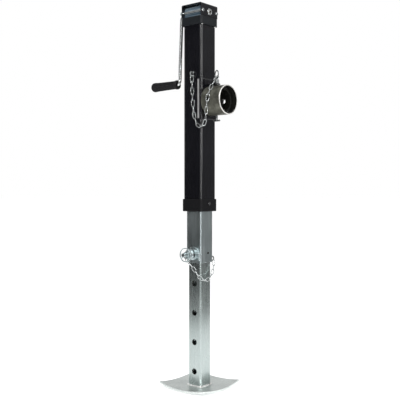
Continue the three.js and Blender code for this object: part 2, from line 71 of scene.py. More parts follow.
# ---- camera, lights and floor

AZIMUTH = math.radians(39.9)  # the camera stands this far round from -Y towards +X
DISTANCE = 1.8093
EYE_HEIGHT = 0.5158
SIDE_STEP = 1.1 * MM
LENS = 62.47
PITCH = math.radians(-0.906)
RIGHT = Vector((math.cos(AZIMUTH), math.sin(AZIMUTH), 0))
FORWARD = Vector((-math.sin(AZIMUTH), math.cos(AZIMUTH), 0))


def add_camera():
    data = bpy.data.cameras.new("camera")
    data.sensor_width = 36
    data.lens = LENS
    data.clip_start = 0.05
    camera = bpy.data.objects.new("camera", data)
    camera.location = -FORWARD * DISTANCE + RIGHT * SIDE_STEP + Z * EYE_HEIGHT
    camera.rotation_euler = (math.pi / 2 + PITCH, 0, AZIMUTH)
    bpy.context.scene.collection.objects.link(camera)
    bpy.context.scene.camera = camera


def towards(degrees):
    """A level direction, in degrees round from the camera's side of the object towards +X."""
    angle = math.radians(degrees)
    return -FORWARD * math.cos(angle) + RIGHT * math.sin(angle)


def add_light(name, direction, height, distance, size, power, aim=0.5):
    """An area light of so many watts that points at the Z axis, at the height aim."""
    data = bpy.data.lights.new(name, "AREA")
    data.shape = "RECTANGLE"
    data.size, data.size_y = size
    data.energy = power
    light = bpy.data.objects.new(name, data)
    light.location = towards(direction) * distance + Z * height
    look = Z * aim - light.location
    light.rotation_euler = look.to_track_quat("-Z", "Y").to_euler()
    bpy.context.scene.collection.objects.link(light)


def add_lights():
    add_light("key_light", -20, 2.2, 2.4, (1.4, 1.4), 34)
    add_light("right_light", 75, 1.4, 2.6, (0.9, 1.6), 20)
    add_light("strip_light", 14, 1.0, 2.6, (0.10, 1.5), 22)
    add_light("left_strip", -92.5, 1.05, 2.6, (0.24, 0.8), 3.2, 0.75)


def add_floor():
    """A pale disc that the object stands on, and a wide ring round it that mirrors don't show."""
    look = Look("floor", roughness=0.9, specular=0.1, glow=(1, 1, 1), glow_strength=0.36)
    look.colour(look.blend(look.noise(3, 2), (0.90, 0.90, 0.90), (0.94, 0.94, 0.94)))
    near, far = 0.94, 40
    for name, inner, outer, mirrored in (("floor", 0, near, True), ("floor_far", near, far, False)):
        bm = bmesh.new()
        count = 96
        rim = [bm.verts.new(p) for p in circle(outer, ORIGIN, Z, count)]
        if inner:
            hub = [bm.verts.new(p) for p in circle(inner, ORIGIN, Z, count)]
            for i in range(count):
                j = (i + 1) % count
                bm.faces.new((hub[i], rim[i], rim[j], hub[j]))
        else:
            bm.faces.new(rim)
        mesh = bpy.data.meshes.new(name)
        bm.to_mesh(mesh)
        bm.free()
        floor = bpy.data.objects.new(name, mesh)
        floor.visible_glossy = mirrored
        mesh.materials.append(look.material)
        bpy.context.scene.collection.objects.link(floor)


def add_world():
    """White to the camera. Other rays see a soft studio, darker to the left and to the right."""
    world = bpy.data.worlds.new("studio")
    bpy.context.scene.world = world
    world.use_nodes = True
    tree = world.node_tree
    tree.nodes.clear()
    new = tree.nodes.new

    def value(kind, first, second):
        node = new("ShaderNodeMath")
        node.operation = kind
        for socket, source in zip(node.inputs, (first, second)):
            if isinstance(source, (int, float)):
                socket.default_value = source
            else:
                tree.links.new(source, socket)
        return node.outputs[0]

    direction = new("ShaderNodeTexCoord").outputs["Generated"]
    brightness = 0.62
    # Each patch is a direction, how wide it is (a power), and the brightness that it leaves.
    patches = (
        (towards(-80), 5, -0.75),
        (towards(100), 5, -0.48),
        (towards(10), 4, -0.42),
        (Z, 3, 0.5),
    )
    for middle, power, change in patches:
        dot = new("ShaderNodeVectorMath")
        dot.operation = "DOT_PRODUCT"
        tree.links.new(direction, dot.inputs[0])
        dot.inputs[1].default_value = middle
        facing = value("MAXIMUM", dot.outputs["Value"], 0)
        share = value("POWER", facing, power)
        brightness = value("ADD", value("MULTIPLY", share, change), brightness)
    studio = new("ShaderNodeBackground")
    studio.inputs["Color"].default_value = (1, 1, 1, 1)
    tree.links.new(value("MAXIMUM", brightness, 0.02), studio.inputs["Strength"])
    plain = new("ShaderNodeBackground")
    plain.inputs["Color"].default_value = (1, 1, 1, 1)
    mix = new("ShaderNodeMixShader")
    tree.links.new(new("ShaderNodeLightPath").outputs["Is Camera Ray"], mix.inputs[0])
    tree.links.new(studio.outputs[0], mix.inputs[1])
    tree.links.new(plain.outputs[0], mix.inputs[2])
    output = new("ShaderNodeOutputWorld")
    tree.links.new(mix.outputs[0], output.inputs[0])
    bpy.context.scene.view_settings.view_transform = "Standard"


# ---- materials

SOCKETS = {
    "metallic": "Metallic", "roughness": "Roughness", "specular": "Specular IOR Level",
    "coat": "Coat Weight", "coat_roughness": "Coat Roughness",
    "glow": "Emission Color", "glow_strength": "Emission Strength",
}
EVEN = (1, 1, 1)  # noise that is stretched in no direction
ALONG = (1, 1, 0.05)  # noise drawn out into streaks along Z


class Look:
    """A procedural material round one Principled shader."""

    def __init__(self, name, **uniform):
        self.material = bpy.data.materials.new(name)
        self.material.use_nodes = True
        self.tree = self.material.node_tree
        self.shader = self.tree.nodes["Principled BSDF"]
        self.place = self.node("TexCoord").outputs["Object"]
        for key, value in uniform.items():
            socket = self.shader.inputs[SOCKETS[key]]
            socket.default_value = (*value, 1) if isinstance(value, tuple) else value

    def node(self, kind, **inputs):
        node = self.tree.nodes.new("ShaderNode" + kind)
        for key, value in inputs.items():
            self.feed(node.inputs[key.replace("_", " ")], value)
        return node

    def feed(self, socket, value):
        if isinstance(value, bpy.types.NodeSocket):
            self.tree.links.new(value, socket)
        else:
            socket.default_value = value

    def noise(self, scale, detail=3, stretch=EVEN, rough=0.5):
        """Cloudy noise from 0 to 1, scale in features per metre."""
        moved = self.node("Mapping", Vector=self.place, Scale=stretch)
        node = self.node("TexNoise", Vector=moved.outputs[0], Scale=scale, Detail=detail, Roughness=rough)
        return node.outputs["Fac"]

    def span(self, source, low, high, to_low=0.0, to_high=1.0):
        """Rescales a value, clamped at both ends."""
        node = self.node("MapRange", Value=source)
        for socket, number in zip(("From Min", "From Max", "To Min", "To Max"), (low, high, to_low, to_high)):
            node.inputs[socket].default_value = number
        return node.outputs[0]

    def sum(self, first, second, operation="ADD"):
        node = self.node("Math")
        node.operation = operation
        self.feed(node.inputs[0], first)
        self.feed(node.inputs[1], second)
        return node.outputs[0]

    def times(self, first, second):
        return self.sum(first, second, "MULTIPLY")

    def blend(self, factor, first, second):
        """Mixes two colours."""
        node = self.node("Mix")
        node.data_type = "RGBA"
        self.feed(node.inputs[0], factor)
        for socket, colour in zip((node.inputs[6], node.inputs[7]), (first, second)):
            self.feed(socket, (*colour, 1) if isinstance(colour, tuple) else colour)
        return node.outputs[2]

    def edges(self, radius):
        """1 along sharp edges, falling to 0 within the radius."""
        rounded = self.node("Bevel", Radius=radius)
        rounded.samples = 4
        plain = self.node("NewGeometry").outputs["Normal"]
        dot = self.node("VectorMath")
        dot.operation = "DOT_PRODUCT"
        self.feed(dot.inputs[0], rounded.outputs[0])
        self.feed(dot.inputs[1], plain)
        return self.span(dot.outputs["Value"], 0.98, 0.8)

    def colour(self, source):
        self.feed(self.shader.inputs["Base Color"], source)

    def roughness(self, source):
        self.feed(self.shader.inputs["Roughness"], source)

    def bump(self, *layers):
        """Layers are (height from 0 to 1, its real depth in metres)."""
        normal = None
        for height, depth in layers:
            node = self.node("Bump", Height=height, Distance=depth, Strength=1.0)
            if normal:
                self.feed(node.inputs["Normal"], normal)
            normal = node.outputs[0]
        self.feed(self.shader.inputs["Normal"], normal)


def black_paint():
    """Gloss black enamel with orange peel, a little dust, and thin wear along the edges."""
    look = Look("black_paint", coat=0.35, coat_roughness=0.08, specular=0.5)
    cloud = look.noise(14, 3)
    dust = look.span(look.noise(900, 2), 0.66, 0.74)
    wear = look.times(look.edges(0.5 * MM), look.span(look.noise(120, 4), 0.5, 0.62))
    paint = look.blend(cloud, (0.0030, 0.0030, 0.0042), (0.0060, 0.0060, 0.0082))
    dusty = look.blend(look.times(dust, 0.35), paint, (0.05, 0.05, 0.055))
    look.colour(look.blend(look.times(wear, 0.5), dusty, (0.10, 0.10, 0.11)))
    look.roughness(look.span(look.noise(35, 4), 0.3, 0.7, 0.10, 0.17))
    look.bump((look.noise(40, 2), 0.010 * MM))
    return look.material


def satin_paint():
    """The gear base's black: the same enamel, made lighter, rougher and less glossy."""
    look = Look("satin_paint", specular=0.16)
    cloud = look.noise(30, 4)
    tone = look.blend(cloud, (0.007, 0.008, 0.0095), (0.013, 0.015, 0.017))
    wear = look.times(look.edges(0.5 * MM), look.span(look.noise(120, 4), 0.5, 0.62))
    look.colour(look.blend(look.times(wear, 0.5), tone, (0.12, 0.12, 0.13)))
    look.roughness(look.span(cloud, 0.3, 0.7, 0.26, 0.38))
    look.bump((look.noise(60, 3), 0.012 * MM))
    return look.material


def zinc(name, bright, dark, roughness, streak=ALONG, drawn=0.012 * MM):
    """Satin zinc plate: cloudy, streaked along the stock, with edges brightened by wear and painted
    highlight.
    """
    look = Look(name, metallic=1.0)
    cloud = look.noise(16, 5, stretch=(1, 1, 0.5), rough=0.6)
    streaks = look.noise(260, 3, stretch=streak)
    patch = look.sum(look.times(cloud, 0.6), look.times(streaks, 0.4))
    plate = look.blend(look.span(patch, 0.35, 0.65), dark, bright)
    worn_and_highlit_edge = tuple(min(1.0, channel * 1.2) for channel in bright)
    # Brighter edges: partly wear, partly painted highlight on rims and chamfers catching the light.
    wear = look.times(look.edges(0.4 * MM), look.span(look.noise(90, 3), 0.35, 0.6))
    look.colour(look.blend(wear, plate, worn_and_highlit_edge))
    low, high = roughness
    look.roughness(look.span(patch, 0.3, 0.7, low, high))
    look.bump((streaks, drawn), (look.noise(1500, 2), 0.006 * MM), (look.noise(30, 2), 0.04 * MM))
    return look.material


def bright_bar():
    """Bright zinc on a smooth round bar."""
    look = Look("bright_bar", metallic=1.0)
    cloud = look.noise(16, 4)
    look.colour(look.blend(look.span(cloud, 0.35, 0.65), (0.64, 0.66, 0.66), (0.78, 0.80, 0.80)))
    look.roughness(look.span(look.noise(40, 3), 0.3, 0.7, 0.15, 0.21))
    look.bump((look.noise(12, 2), 0.01 * MM))
    return look.material


def raw_pipe_steel():
    """Bare pipe: greenish grey mill scale, mottled and oiled. Its bright turned end has a finish of its own.
    """
    look = Look("raw_pipe_steel", metallic=0.85)
    mottle = look.noise(70, 5, rough=0.65)
    scale = look.blend(look.span(mottle, 0.35, 0.65), (0.085, 0.086, 0.070), (0.200, 0.200, 0.165))
    grain = look.noise(420, 3)
    pitted = look.blend(look.span(grain, 0.62, 0.74, 0, 0.6), scale, (0.03, 0.03, 0.026))
    rub = look.times(look.edges(0.7 * MM), look.span(look.noise(150, 3), 0.3, 0.6))
    look.colour(look.blend(rub, pitted, (0.55, 0.55, 0.52)))
    look.roughness(look.span(mottle, 0.3, 0.7, 0.42, 0.56))
    look.bump((grain, 0.05 * MM), (look.noise(90, 3), 0.08 * MM))
    return look.material


def turned_rim():
    """The pipe's freshly cut end: bright steel with fine turning marks round the axis."""
    look = Look("turned_rim", metallic=0.9)
    marks = look.noise(1800, 2)
    look.colour(look.blend(marks, (0.62, 0.61, 0.58), (0.82, 0.81, 0.78)))
    look.roughness(look.span(marks, 0.3, 0.7, 0.38, 0.55))
    look.bump((marks, 0.02 * MM))
    return look.material


def filmed(name, scale, dark, bright, roughness, grain, depth, **uniform):
    """A plain finish under an uneven film. grain is the noise of its fine bumps."""
    look = Look(name, **uniform)
    tone = look.noise(scale, 4)
    look.colour(look.blend(tone, dark, bright))
    low, high = roughness
    look.roughness(look.span(tone, 0.3, 0.7, low, high))
    look.bump((look.noise(*grain), depth))
    return look.material


def rubber_grip():
    look = Look("rubber_grip", specular=0.22)
    cloud = look.noise(90, 4)
    dust = look.span(look.noise(1400, 2), 0.6, 0.72)
    base = look.blend(cloud, (0.005, 0.005, 0.0058), (0.010, 0.010, 0.0115))
    look.colour(look.blend(look.times(dust, 0.3), base, (0.06, 0.06, 0.062)))
    look.roughness(look.span(cloud, 0.3, 0.7, 0.46, 0.62))
    look.bump((look.noise(2400, 2), 0.03 * MM))
    return look.material


def black_plastic():
    look = Look("black_plastic", specular=0.14)
    grain = look.noise(1600, 3)
    look.colour(look.blend(look.noise(25, 3), (0.0035, 0.0035, 0.0042), (0.0065, 0.0065, 0.0075)))
    look.roughness(look.span(grain, 0.3, 0.7, 0.36, 0.5))
    look.bump((grain, 0.03 * MM))
    return look.material


def shield_steel():
    """Glossy blue-grey sheet; bands along its bend paint highlight stripes and also set its roughness and
    ribs.
    """
    look = Look("shield_steel", metallic=0.25, coat=0.3, coat_roughness=0.12)
    highlight_bands = look.span(look.noise(190, 2, stretch=(0.04, 1, 1)), 0.38, 0.62)
    # The bands' two colours paint highlight stripes onto the sheet.
    look.colour(look.blend(highlight_bands, (0.07, 0.11, 0.15), (0.36, 0.44, 0.50)))
    look.roughness(look.span(highlight_bands, 0, 1, 0.2, 0.34))
    look.bump((highlight_bands, 0.03 * MM))
    return look.material


def make_materials():
    return {
        "black_paint": black_paint(),
        "satin_paint": satin_paint(),
        "black_plastic": black_plastic(),
        "raw_pipe_steel": raw_pipe_steel(),
        "turned_rim": turned_rim(),
        # A dark finish that paints the shade inside bores, holes and grooves.
        "painted_bore_shade": filmed("painted_bore_shade", 120, (0.006, 0.006, 0.005), (0.018, 0.018, 0.015), (0.32, 0.50),
                            (500, 3), 0.03 * MM, metallic=0.3, specular=0.3),
        "machined_steel": filmed("machined_steel", 60, (0.36, 0.35, 0.33), (0.55, 0.55, 0.54), (0.22, 0.38),
                                 (1200, 2, (1, 1, 6)), 0.01 * MM, metallic=1.0),
        "bronze": filmed("bronze", 80, (0.30, 0.18, 0.07), (0.52, 0.34, 0.14), (0.25, 0.42),
                         (1500, 2), 0.01 * MM, metallic=1.0),
        "rubber_grip": rubber_grip(),
        "shield_steel": shield_steel(),
        "dark_zinc": zinc("dark_zinc", (0.30, 0.31, 0.31), (0.16, 0.17, 0.17), (0.34, 0.50)),
        "zinc_plate": zinc("zinc_plate", (0.60, 0.67, 0.68), (0.44, 0.50, 0.51), (0.24, 0.36)),
        "leg_zinc": zinc("leg_zinc", (0.52, 0.58, 0.57), (0.42, 0.48, 0.47), (0.22, 0.32)),
        "foot_zinc": zinc("foot_zinc", (0.78, 0.82, 0.80), (0.56, 0.60, 0.59), (0.34, 0.46), EVEN, 0.01 * MM),
        "bright_bar": bright_bar(),
        "bright_bolt": zinc("bright_bolt", (0.88, 0.92, 0.93), (0.72, 0.76, 0.77), (0.14, 0.24)),
        "chain_zinc": zinc("chain_zinc", (0.62, 0.64, 0.64), (0.34, 0.36, 0.36), (0.14, 0.26), EVEN,
                           0.01 * MM),
        "bare_weld": zinc("bare_weld", (0.86, 0.86, 0.84), (0.55, 0.55, 0.54), (0.22, 0.40), EVEN, 0.05 * MM),
    }


# ---- shapes

def across(axis):
    """Two directions at right angles to an axis and to each other."""
    first = Z if abs(axis.z) < 0.9 else X
    first = (first - axis * first.dot(axis)).normalized()
    return first, axis.cross(first)


def circle(radius, centre, axis, count=48):
    u, v = across(axis.normalized())
    turns = [2 * math.pi * i / count for i in range(count)]
    return [centre + (u * math.cos(t) + v * math.sin(t)) * radius for t in turns]


def loft(bm, loops, closed=False):
    """Skins a row of loops with the same number of points. An open row is capped at both ends."""
    rings = [[bm.verts.new(point) for point in loop] for loop in loops]
    pairs = list(zip(rings, rings[1:]))
    if closed:
        pairs.append((rings[-1], rings[0]))
    count = len(rings[0])
    faces = []
    for low, high in pairs:
        for i in range(count):
            j = (i + 1) % count
            faces.append(bm.faces.new((low[i], low[j], high[j], high[i])))
    if not closed:
        faces.append(bm.faces.new(tuple(reversed(rings[0]))))
        faces.append(bm.faces.new(rings[-1]))
    bmesh.ops.recalc_face_normals(bm, faces=faces)


def lathe(bm, profile, axis, where, count=48):
    """A solid of revolution. Its profile is (radius, distance along the axis) pairs; one that
    ends where it starts makes a ring."""
    closed = profile[0] == profile[-1]
    rows = profile[:-1] if closed else profile
    loft(bm, [circle(radius, where + axis * distance, axis, count) for radius, distance in rows], closed)


def soften(points, size, closed=False, steps=3):
    """Rounds the corners of a profile or an outline. size may be one value, or one a corner."""
    count = len(points)
    sizes = size if isinstance(size, (list, tuple)) else [size] * count
    result = []
    for i, point in enumerate(points):
        corner = Vector(point)
        if sizes[i] == 0 or (not closed and i in (0, count - 1)):
            result.append(tuple(corner))
            continue
        before = Vector(points[i - 1]) - corner
        after = Vector(points[(i + 1) % count]) - corner
        start = corner + before.normalized() * min(sizes[i], 0.45 * before.length)
        end = corner + after.normalized() * min(sizes[i], 0.45 * after.length)
        for k in range(steps + 1):
            t = k / steps
            result.append(tuple(start * (1 - t) ** 2 + corner * 2 * t * (1 - t) + end * t * t))
    return result


def rims(low, high, edge):
    """(inset, height) pairs that round both ends of a straight wall."""
    return [(edge, low), (0.3 * edge, low + 0.3 * edge), (0, low + edge),
            (0, high - edge), (0.3 * edge, high - 0.3 * edge), (edge, high)]


def square_loop(half, radius, z, steps=7):
    """A loop round a square with round corners."""
    flat = half - radius
    loop = []
    for corner, (x, y) in enumerate(((flat, flat), (-flat, flat), (-flat, -flat), (flat, -flat))):
        for k in range(steps + 1):
            turn = math.pi / 2 * (corner + k / steps)
            loop.append(Vector((x + radius * math.cos(turn), y + radius * math.sin(turn), z)))
    return loop


def square_tube(half, wall, radius, low, high):
    """Makes an upright square tube from measures in millimetres."""
    half, wall, radius, low, high = [value * MM for value in (half, wall, radius, low, high)]
    inner = half - wall
    inner_radius = max(radius - wall, 0.8 * MM)
    steps = rims(low, high, 0.6 * MM)
    loops = [square_loop(half - inset, radius, z) for inset, z in steps]
    loops += [square_loop(inner + inset, inner_radius, z) for inset, z in reversed(steps)]
    return lambda bm: loft(bm, loops, closed=True)


def shrink(outline, inset):
    """Moves an outline inwards; it runs anticlockwise."""
    if not inset:
        return list(outline)
    count = len(outline)
    result = []
    for i in range(count):
        here = Vector(outline[i])
        along = (Vector(outline[(i + 1) % count]) - Vector(outline[i - 1])).normalized()
        result.append(tuple(here + Vector((-along.y, along.x)) * inset))
    return result


def plate(bm, outline, low, high, u, v, w, edge=0.5 * MM):
    """A flat plate: an outline in the u and v directions, from low to high along w."""
    loops = []
    for inset, height in rims(low, high, edge):
        loops.append([u * x + v * y + w * height for x, y in shrink(outline, inset)])
    loft(bm, loops)


def spline(points, spacing):
    """Evenly spaced points on a smooth curve through the given ones."""
    points = [Vector(p) for p in points]
    dense = []
    padded = [points[0] * 2 - points[1]] + points + [points[-1] * 2 - points[-2]]
    for a, b, c, d in zip(padded, padded[1:], padded[2:], padded[3:]):
        for k in range(24):
            t = k / 24
            dense.append(0.5 * ((2 * b) + (c - a) * t + (2 * a - 5 * b + 4 * c - d) * t * t
                                + (3 * b - a - 3 * c + d) * t ** 3))
    dense.append(points[-1])
    lengths = [0.0]
    for first, second in zip(dense, dense[1:]):
        lengths.append(lengths[-1] + (second - first).length)
    count = max(2, round(lengths[-1] / spacing) + 1)
    result = []
    k = 0
    for i in range(count):
        want = lengths[-1] * i / (count - 1)
        while k < len(dense) - 2 and lengths[k + 1] < want:
            k += 1
        share = (want - lengths[k]) / max(lengths[k + 1] - lengths[k], 1e-12)
        result.append(dense[k].lerp(dense[k + 1], min(1.0, share)))
    return result


def transported(path, closed=False):
    """(tangent, side) at each point of a path, with as little twist as it allows."""
    count = len(path)
    tangents = []
    for i in range(count):
        before = path[i - 1] if (i or closed) else path[0]
        after = path[(i + 1) % count] if (i < count - 1 or closed) else path[-1]
        tangents.append((after - before).normalized())
    side = across(tangents[0])[0]
    frames = []
    for tangent in tangents:
        side = (side - tangent * side.dot(tangent)).normalized()
        frames.append((tangent, side.copy()))
    return frames


def sweep(bm, path, radius, count=12, closed=False):
    """A round bar along a path. radius may be one value, or one for each point."""
    radii = radius if isinstance(radius, (list, tuple)) else [radius] * len(path)
    loops = []
    for point, size, (tangent, side) in zip(path, radii, transported(path, closed)):
        up = tangent.cross(side)
        turns = [2 * math.pi * i / count for i in range(count)]
        loops.append([point + (side * math.cos(t) + up * math.sin(t)) * size for t in turns])
    loft(bm, loops, closed)


def wire_ring(bm, centre, axis, middle, radius, count):
    sweep(bm, circle(middle, centre, axis, count), radius, 12, closed=True)


def hex_head(bm, across_flats, low, high, axis, where):
    """A hexagon head or nut with its corners turned off at the outer end."""
    u, v = across(axis)
    apothem = across_flats / 2
    count = 60

    def loop(distance, chamfer):
        points = []
        for i in range(count):
            turn = 2 * math.pi * i / count
            face = (turn + math.pi / 6) % (math.pi / 3) - math.pi / 6
            reach = apothem / math.cos(face)
            drop = max(0.0, reach - apothem * chamfer) * 0.55 if chamfer else 0.0
            out = u * math.cos(turn) + v * math.sin(turn)
            points.append(where + out * reach + axis * (distance - drop))
        return points

    flat_end = circle(apothem * 0.93, where + axis * high, axis, count)
    loft(bm, [loop(low, 0), loop(high, 0.97), flat_end])


def weld_bead(path, radius, seed, closed=False):
    """Makes a rippled weld bead along a path. Its radius is in millimetres."""
    rng = random.Random(seed)
    points = path if closed else spline(path, 0.8 * MM)
    radii = []
    for i in range(len(points)):
        ripple = 0.10 * math.sin(2 * math.pi * i / 3.3)
        radii.append(radius * MM * (1 + ripple + rng.uniform(-0.10, 0.10)))
    if not closed:
        radii[0] = radii[-1] = 0.45 * radius * MM
    return lambda bm: sweep(bm, points, radii, 10, closed)


# ---- making a piece

MATERIALS = make_materials()


def at(x, y, z):
    """A point given in millimetres."""
    return Vector((x, y, z)) * MM


def mm(profile):
    """A profile or outline given in millimetres."""
    return [(first * MM, second * MM) for first, second in profile]


def new_object(name, build):
    bm = bmesh.new()
    build(bm)
    bmesh.ops.triangulate(bm, faces=[face for face in bm.faces if len(face.verts) > 4])
    mesh = bpy.data.meshes.new(name)
    bm.to_mesh(mesh)
    bm.free()
    made = bpy.data.objects.new(name, mesh)
    bpy.context.scene.collection.objects.link(made)
    return made


def drill(made, build):
    """Cuts away what build() makes."""
    tool = new_object("drill", build)
    modifier = made.modifiers.new("drill", "BOOLEAN")
    modifier.operation = "DIFFERENCE"
    modifier.solver = "EXACT"
    modifier.object = tool
    graph = bpy.context.evaluated_depsgraph_get()
    drilled = bpy.data.meshes.new_from_object(made.evaluated_get(graph))
    made.modifiers.remove(modifier)
    made.data = drilled
    bpy.data.objects.remove(tool)


SHARP = math.radians(35)


def smooth(made):
    """Smooth shading that keeps the sharp edges. Drilling undoes it, so it is done again after that."""
    made.data.shade_smooth()
    made.data.set_sharp_from_angle(angle=SHARP)


def detail(name, build, node, look=None, cuts=None):
    """A visible piece that rides with a CAD node and takes its finish."""
    made = new_object(name, build)
    if cuts:
        drill(made, cuts)
    made.data.materials.clear()
    made.data.materials.append(MATERIALS[look or SLOT_OF[node]])
    smooth(made)
    modifier = made.modifiers.new("weighted_normals", "WEIGHTED_NORMAL")
    modifier.keep_sharp = True
    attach(made, BODY_OF[node])
    return made


def piece(name, build, node, look=None, cuts=None):
    """A visible piece that stands for a CAD node."""
    made = detail(name, build, node, look, cuts)
    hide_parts(node)
    return made


def turned_ring(points, edge, axis, where, count=64):
    """Makes a ring from its section in millimetres, (radius, distance) pairs, with softened corners."""
    section = soften(mm(points), edge * MM, closed=True)
    return lambda bm: lathe(bm, section + section[:1], axis, where, count)


def bar(radius, low, high, axis, where, count=32, edge=0.4):
    """Makes a round bar, or the tool that drills its hole, in millimetres."""
    return lambda bm: rod(bm, radius * MM, low * MM, high * MM, axis, where, count, edge * MM)


def weld_spot(name, node, centre, size, flatness, roughness, seed):
    """A rough spot of weld."""
    def spot(bm):
        matrix = Matrix.Translation(at(*centre)) @ Matrix.Diagonal((1, 1, flatness, 1))
        bmesh.ops.create_icosphere(bm, subdivisions=3, radius=size * MM, matrix=matrix)
        rng = random.Random(seed)
        for vertex in bm.verts:
            vertex.co += vertex.normal * rng.uniform(-roughness, roughness) * MM

    detail(name, spot, node, look="bare_weld")


def rod(bm, radius, low, high, axis, where, count=32, edge=0.4 * MM):
    """A round bar with softened ends."""
    steps = rims(low, high, edge)
    lathe(bm, [(radius - inset, height) for inset, height in steps], axis, where, count)


def thread(bm, radius, depth, pitch, low, high, axis, where):
    """A threaded bar."""
    count = 24
    rows = max(4, round((high - low) / pitch * 6))
    loops = []
    for k in range(rows + 1):
        height = low + (high - low) * k / rows
        loop = []
        for i, point in enumerate(circle(1.0, ORIGIN, axis, count)):
            wave = 0.5 + 0.5 * math.cos(2 * math.pi * (height / pitch - i / count))
            loop.append(where + axis * height + point * (radius - depth * wave))
        loops.append(loop)
    loft(bm, loops)


def darken(made, inside):
    """Gives the faces whose middle is inside(centre, normal) painted shade, the dark of an unlit bore."""
    made.data.materials.append(MATERIALS["painted_bore_shade"])
    dark = len(made.data.materials) - 1
    for face in made.data.polygons:
        if inside(face.center / MM, face.normal):
            face.material_index = dark


# ---- keeper chains

CHAIN_WIRE = 1.9 * MM
CHAIN_WIDTH = 9.0 * MM
LINK_TWIST = 0.16  # radians, either way


def chain_link(bm, centre, along, up, length):
    """A welded chain link: long along one direction, flat across another."""
    side = along.cross(up).normalized()
    bend = (CHAIN_WIDTH - CHAIN_WIRE) / 2
    straight = (length - CHAIN_WIDTH) / 2
    points = []
    for end in (1, -1):
        for k in range(9):
            turn = math.pi * (k / 8 - 0.5)
            reach = straight + bend * math.cos(turn)
            points.append(centre + along * end * reach + side * end * bend * math.sin(turn))
    sweep(bm, points, CHAIN_WIRE / 2, 10, closed=True)


def chain(name, node, points, links, seed, first=0, last=None):
    """A chain of links, each turned a right angle from the one before, or a stretch of it."""
    rng = random.Random(seed)
    path = spline([at(*p) for p in points], 0.5 * MM)
    pitch = (len(path) - 1) / links
    facing = Vector((0.707, -0.707, 0))

    def build(bm):
        for i in range(links):
            start, end = path[round(i * pitch)], path[round((i + 1) * pitch)]
            along = (end - start).normalized()
            up = (facing - along * facing.dot(along)).normalized()
            up = Matrix.Rotation(math.pi / 2 * (i % 2) + rng.uniform(-LINK_TWIST, LINK_TWIST), 3, along) @ up
            length = (end - start).length + 1.9 * CHAIN_WIRE
            if first <= i < (last or links):
                chain_link(bm, (start + end) / 2, along, up, length)

    made = new_object(name, build)
    made.data.materials.append(MATERIALS["chain_zinc"])
    made.data.shade_smooth()
    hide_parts(node)
    return made


UPPER_CHAIN = (
    (3.5, -34.5, 805.8), (3.6, -34.6, 796), (3.8, -34.6, 784), (4.5, -34.5, 765), (5.5, -34.4, 742),
    (7.5, -34.4, 722), (11, -34.8, 704), (17, -35.8, 688), (26, -37.2, 676), (38, -38.7, 672),
    (48, -40.7, 677), (54, -42.2, 688), (56.8, -42.6, 704), (58.6, -42.8, 722), (61.2, -42.6, 744),
    (62.6, -38.8, 758), (61.3, -29.2, 771.2), (60.6, -19, 784), (61.3, -10.5, 794), (64.0, -3.4, 801.6),
)
LOWER_CHAIN = (
    (0, -53, 338.7), (2.2, -51.5, 332), (8, -45.5, 322), (12.5, -40, 313), (18, -34.8, 301.5),
    (25, -29.5, 288.5), (30.5, -19, 281), (32, -5, 282), (31.5, 7, 289), (29, 20, 304),
    (25.5, 27.5, 317), (21.4, 30.3, 329.8),
)


def chains():
    """The upper chain ends on the lock pin. The lower chain starts on the plunger and hangs from the ram."""
    upper = chain("upper_chain_links", "upper_chain", UPPER_CHAIN, 19, 3)
    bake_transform(upper)
    top = chain("lower_chain_top_links", "lower_chain", LOWER_CHAIN, 11, 5, last=2)
    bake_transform(top)
    rest = chain("lower_chain_links", "lower_chain", LOWER_CHAIN, 11, 5, first=2)
    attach(rest, "ram")
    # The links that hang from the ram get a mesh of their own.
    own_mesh(rest)


def chain_eye(name, node, centre, middle, wire, outwards, face):
    """A bent wire eye whose two ends are welded to a tube's face."""
    points = []
    for k in range(33):
        turn = math.pi * (k / 32 * 1.7 - 0.85)
        points.append(centre + (outwards * math.cos(turn) + Z * math.sin(turn)) * middle)
    kept = [p for p in points if p.dot(outwards) > face - 0.2 * MM]
    piece(name, lambda bm: sweep(bm, kept, wire, 14), node)
    for end, point in enumerate((kept[0], kept[-1])):
        blob = [(wire * 1.9, 0), (wire * 1.8, 0.5 * MM), (wire * 1.4, 1.5 * MM), (wire * 0.8, 2.1 * MM)]
        foot = point - outwards * (point.dot(outwards) - face)
        detail(f"{name}_weld_{end}", lambda bm: lathe(bm, blob, outwards, foot, 16), node)


# ---- pipe mount and saddle

PIPE_Z = 741
PIPE_AXIS = at(0, 0, PIPE_Z)
CROSS_X = 57
CROSS = at(CROSS_X, 0, PIPE_Z)  # where the line of lock pin and clamp screw meets the side holes
CROSS_LINE = at(CROSS_X, 0, 0)


def pipe_mount():
    section = [(32.5, 35.6), (37.5, 35.6), (37.5, 93.5), (36.5, 95), (34.8, 95), (34.3, 76), (32.5, 76)]
    made = piece("mount_pipe_fine", turned_ring(section, 0.5, X, PIPE_AXIS, 128), "mount_pipe",
                 cuts=bar(7, -50, 50, Y, CROSS))

    def screw_holes(bm):
        rod(bm, 7 * MM, 0, 50 * MM, Z, CROSS)
        rod(bm, 3.4 * MM, -50 * MM, -20 * MM, Z, CROSS)

    drill(made, screw_holes)
    smooth(made)
    for look in ("turned_rim", "painted_bore_shade"):
        made.data.materials.append(MATERIALS[look])
    turned, dark = 1, 2
    # Faces inside the pipe are given painted shade; its cut end gets the turned rim.
    for face in made.data.polygons:
        radius = math.hypot(face.center.y, face.center.z - PIPE_AXIS.z)
        if face.center.x > 93.2 * MM or (face.normal.x > 0.9 and face.center.x > 75 * MM):
            face.material_index = turned
        elif radius < 35 * MM:
            face.material_index = dark


def clamp_screw():
    def body(bm):
        thread(bm, 3 * MM, 0.4 * MM, 1 * MM, 697 * MM, 708.4 * MM, Z, CROSS_LINE)
        rod(bm, 2.9 * MM, 690 * MM, 697 * MM, Z, CROSS_LINE)
        rod(bm, 2.2 * MM, 47 * MM, 67 * MM, X, at(0, 0, 690), 24, 0.8 * MM)

    piece("clamp_screw_fine", body, "clamp_screw")


